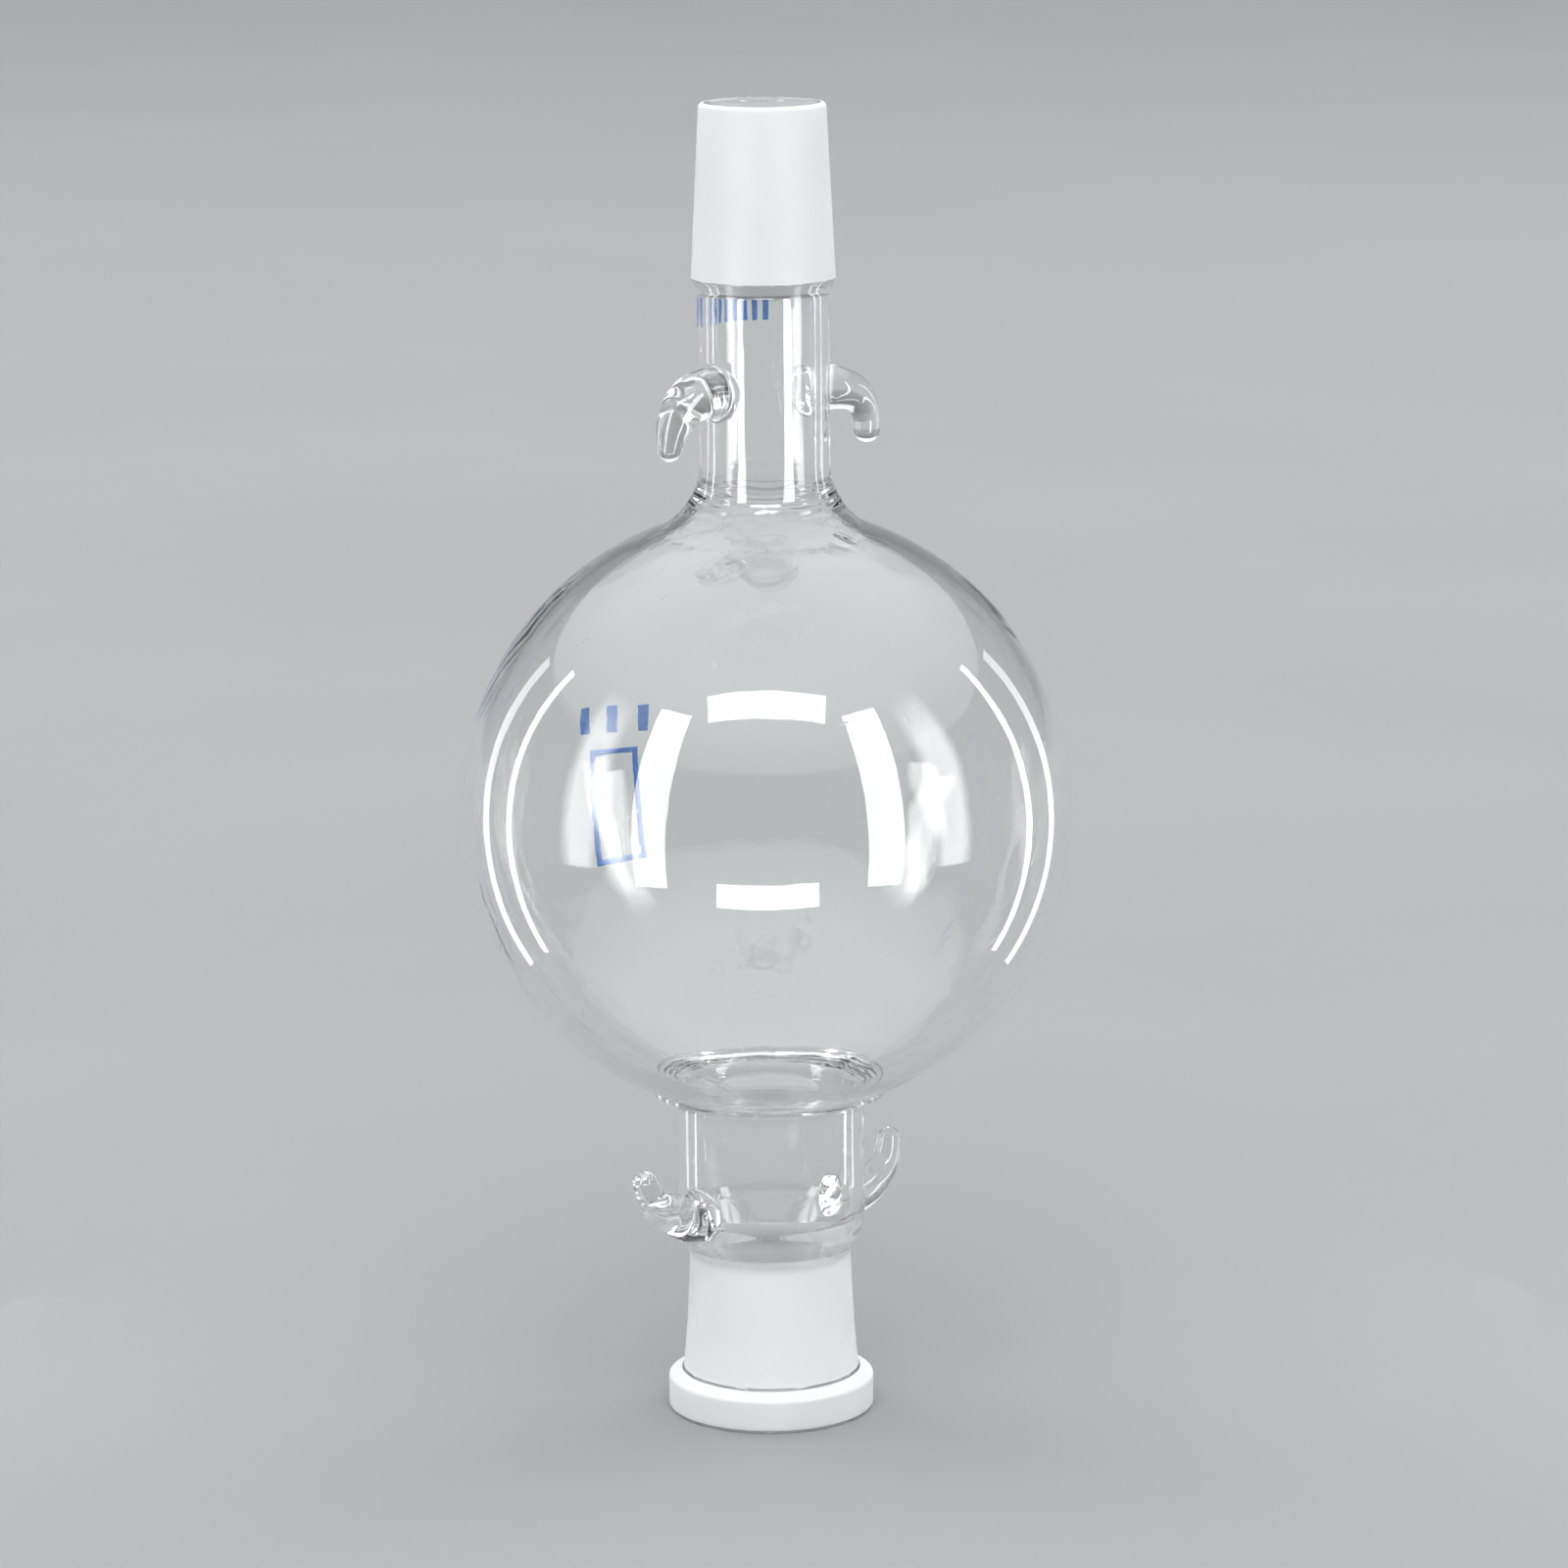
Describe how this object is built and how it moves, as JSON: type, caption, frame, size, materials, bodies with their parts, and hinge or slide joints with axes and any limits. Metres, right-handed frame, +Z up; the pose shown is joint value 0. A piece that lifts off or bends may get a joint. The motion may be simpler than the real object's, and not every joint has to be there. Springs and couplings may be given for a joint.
{
  "type": "solvent reservoir bulb",
  "caption": "Round glass reservoir bulb with a ground cone on top, a ground socket below and glass hooks for joint springs, standing on its socket rim.",
  "frame": {"origin": "centre of the flat face of the socket's rim, on which the part stands", "axes": "+Z up through the bulb to the ground cone; both pairs of hooks lie in the XZ plane; the enamel marks face +Y"},
  "size_m": [0.103, 0.103, 0.2235],
  "materials": {
    "clear_glass": "clear, fire-polished borosilicate",
    "ground_glass": "fine ground, frosted",
    "blue_enamel": "baked ceramic enamel print"
  },
  "bodies": {
    "root": {"ground_cone": "ground_glass", "neck_tube": "clear_glass", "upper_seal": "clear_glass", "bulb": "clear_glass", "lower_seal": "clear_glass", "socket_tube": "clear_glass", "socket_shoulder": "clear_glass", "ground_socket": "ground_glass", "socket_rim": "clear_glass", "neck_hook_left": "clear_glass", "neck_hook_right": "clear_glass", "socket_hook_left": "clear_glass", "socket_hook_right": "clear_glass", "neck_mark": "blue_enamel", "bulb_mark": "blue_enamel"}
  },
  "joints": []
}
